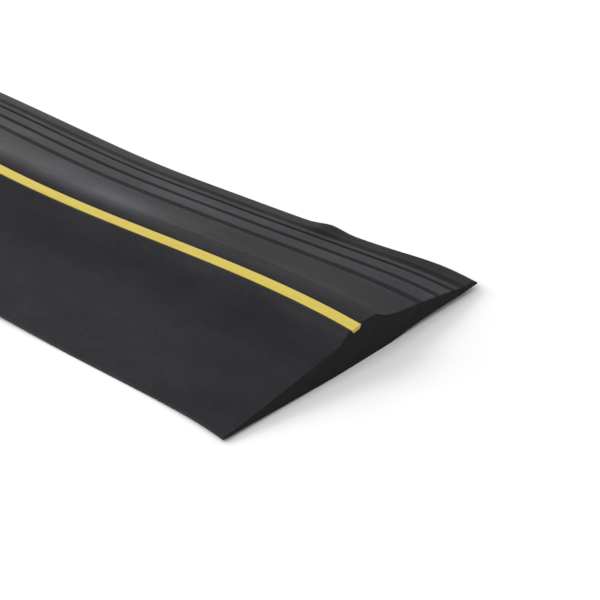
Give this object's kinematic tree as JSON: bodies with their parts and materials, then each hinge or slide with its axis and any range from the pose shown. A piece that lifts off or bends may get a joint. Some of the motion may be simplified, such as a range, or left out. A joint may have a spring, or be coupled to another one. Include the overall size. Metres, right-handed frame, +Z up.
{
  "type": "floor threshold ramp",
  "caption": "Low black rubber floor ramp strip with a thin front apron, a raised crest with an inlaid yellow sight stripe, and a ribbed rear slope.",
  "frame": {"origin": "on the floor, under the middle of the strip: the centre of the bounding box's bottom face", "axes": "+X along the strip; +Y across it from the thin front apron to the ribbed rear lip; +Z up from the floor"},
  "size_m": [1, 0.107, 0.0122],
  "materials": {
    "black_rubber": "satin moulded rubber with a fine grain",
    "yellow_rubber": "satin yellow rubber"
  },
  "bodies": {
    "root": {"rubber_ramp": "black_rubber", "yellow_stripe": "yellow_rubber"}
  },
  "joints": []
}
